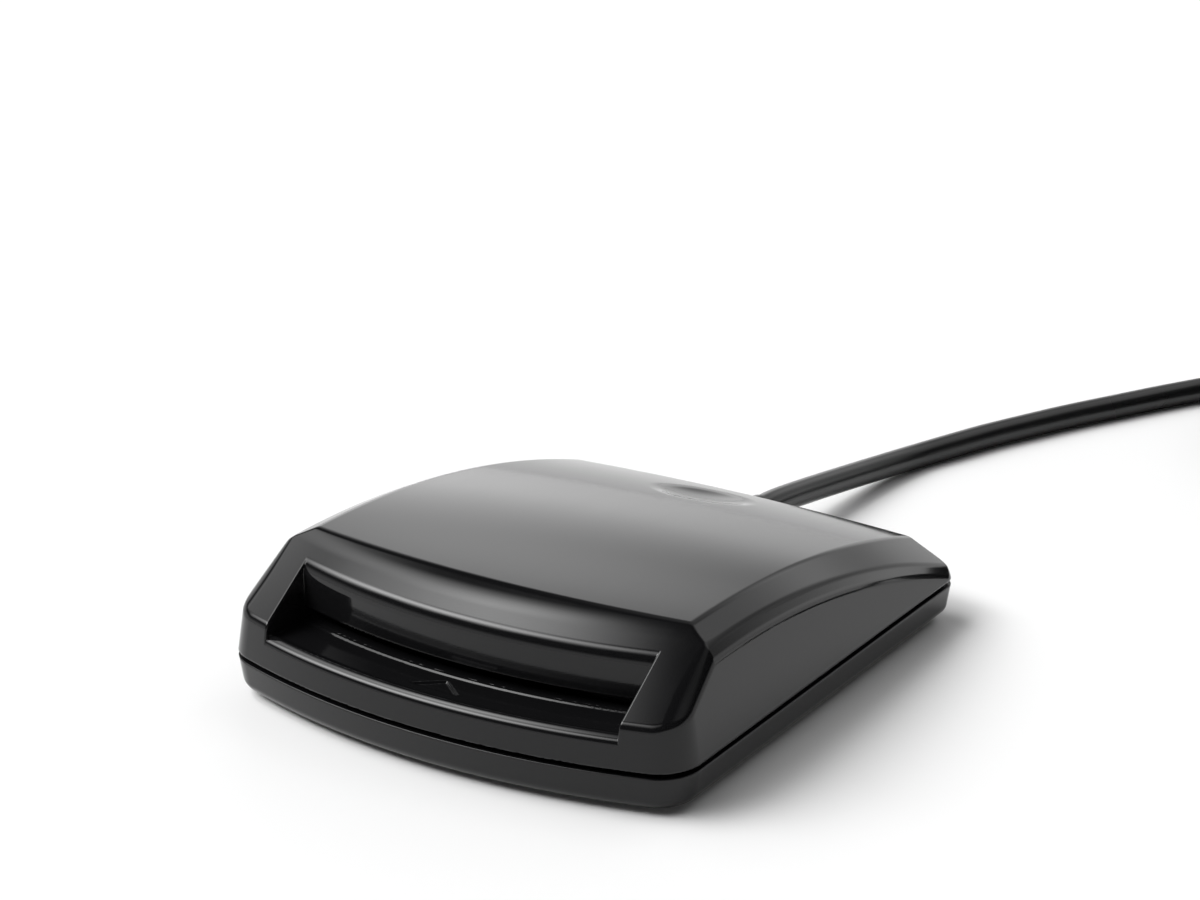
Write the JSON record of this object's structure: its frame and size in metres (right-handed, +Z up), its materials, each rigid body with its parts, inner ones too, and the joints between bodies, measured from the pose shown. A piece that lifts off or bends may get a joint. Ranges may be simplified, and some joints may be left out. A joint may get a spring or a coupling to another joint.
{
  "type": "smart_card_reader",
  "caption": "Desktop USB smart card reader: wedge-shaped black housing, card recess in front, eight sprung contact wipers, card-detect lever and a 1.5 m lead with plug.",
  "frame": {"origin": "Middle of the housing's footprint, on the table; the lead is left out of this middle.", "axes": "+X to the right seen from the card side, +Y to the back where the lead leaves, +Z up"},
  "size_m": [0.1314, 0.2162, 0.0218],
  "materials": {
    "housing": "satin textured black ABS",
    "rubber_black": "matt",
    "screw_steel": "zinc plated",
    "board_green": "solder resist",
    "guide_plastic": "moulded dark grey",
    "contact_gold": "gold plated",
    "lever_white": "moulded natural",
    "chip_black": "matt epoxy",
    "can_steel": "nickel",
    "ceramic_tan": "ceramic",
    "led_white": "clear lens",
    "clear_guide": "clear acrylic",
    "wire_jacket": "PVC",
    "cord_jacket": "satin PVC",
    "plug_steel": "nickel plated"
  },
  "bodies": {
    "housing": {"base_shell": "housing", "top_shell": "housing", "foot_front_left": "rubber_black", "foot_front_right": "rubber_black", "foot_rear_left": "rubber_black", "foot_rear_right": "rubber_black", "housing_screws": "screw_steel", "circuit_board": "board_green", "board_screws": "screw_steel", "card_frame": "guide_plastic", "contact_block": "guide_plastic", "wiper_tails": "contact_gold", "detect_switch": "chip_black", "controller_chip": "chip_black", "crystal": "can_steel", "capacitors": "ceramic_tan", "status_led": "led_white", "light_guide": "clear_guide", "cable_header": "lever_white", "usb_wires": "wire_jacket", "strain_relief": "cord_jacket", "cable": "cord_jacket", "cable_coil": "cord_jacket", "cable_end": "cord_jacket", "coil_tie": "rubber_black", "plug_grip": "cord_jacket", "plug_shell": "plug_steel", "plug_insert": "lever_white", "plug_contacts": "contact_gold"},
    "wiper_1": {"wiper_1": "contact_gold"},
    "wiper_2": {"wiper_2": "contact_gold"},
    "wiper_3": {"wiper_3": "contact_gold"},
    "wiper_4": {"wiper_4": "contact_gold"},
    "wiper_5": {"wiper_5": "contact_gold"},
    "wiper_6": {"wiper_6": "contact_gold"},
    "wiper_7": {"wiper_7": "contact_gold"},
    "wiper_8": {"wiper_8": "contact_gold"},
    "detect_lever": {"detect_lever": "lever_white"}
  },
  "joints": [
    {"name": "wiper_1_flex", "type": "hinge", "parent": "housing", "child": "wiper_1", "pos_m": [-0.00691, -0.00187, 0.009], "axis": [-1, 0, 0], "range_deg": [0, 6], "stiffness_Nm_per_rad": 0.022},
    {"name": "wiper_2_flex", "type": "hinge", "parent": "housing", "child": "wiper_2", "pos_m": [-0.00437, -0.00187, 0.009], "axis": [-1, 0, 0], "range_deg": [0, 6], "stiffness_Nm_per_rad": 0.022},
    {"name": "wiper_3_flex", "type": "hinge", "parent": "housing", "child": "wiper_3", "pos_m": [-0.00183, -0.00187, 0.009], "axis": [-1, 0, 0], "range_deg": [0, 6], "stiffness_Nm_per_rad": 0.022},
    {"name": "wiper_4_flex", "type": "hinge", "parent": "housing", "child": "wiper_4", "pos_m": [0.00071, -0.00187, 0.009], "axis": [-1, 0, 0], "range_deg": [0, 6], "stiffness_Nm_per_rad": 0.022},
    {"name": "wiper_5_flex", "type": "hinge", "parent": "housing", "child": "wiper_5", "pos_m": [-0.00691, 0.00575, 0.009], "axis": [-1, 0, 0], "range_deg": [0, 6], "stiffness_Nm_per_rad": 0.022},
    {"name": "wiper_6_flex", "type": "hinge", "parent": "housing", "child": "wiper_6", "pos_m": [-0.00437, 0.00575, 0.009], "axis": [-1, 0, 0], "range_deg": [0, 6], "stiffness_Nm_per_rad": 0.022},
    {"name": "wiper_7_flex", "type": "hinge", "parent": "housing", "child": "wiper_7", "pos_m": [-0.00183, 0.00575, 0.009], "axis": [-1, 0, 0], "range_deg": [0, 6], "stiffness_Nm_per_rad": 0.022},
    {"name": "wiper_8_flex", "type": "hinge", "parent": "housing", "child": "wiper_8", "pos_m": [0.00071, 0.00575, 0.009], "axis": [-1, 0, 0], "range_deg": [0, 6], "stiffness_Nm_per_rad": 0.022},
    {"name": "detect_lever_tilt", "type": "hinge", "parent": "housing", "child": "detect_lever", "pos_m": [0.016, 0.02185, 0.0072], "axis": [-1, 0, 0], "range_deg": [0, 16], "stiffness_Nm_per_rad": 0.006}
  ],
  "couplings": [
    {"joint": "wiper_2_flex", "follows": "wiper_1_flex", "ratio": 1},
    {"joint": "wiper_3_flex", "follows": "wiper_1_flex", "ratio": 1},
    {"joint": "wiper_4_flex", "follows": "wiper_1_flex", "ratio": 1},
    {"joint": "wiper_5_flex", "follows": "wiper_1_flex", "ratio": 1},
    {"joint": "wiper_6_flex", "follows": "wiper_1_flex", "ratio": 1},
    {"joint": "wiper_7_flex", "follows": "wiper_1_flex", "ratio": 1},
    {"joint": "wiper_8_flex", "follows": "wiper_1_flex", "ratio": 1}
  ]
}
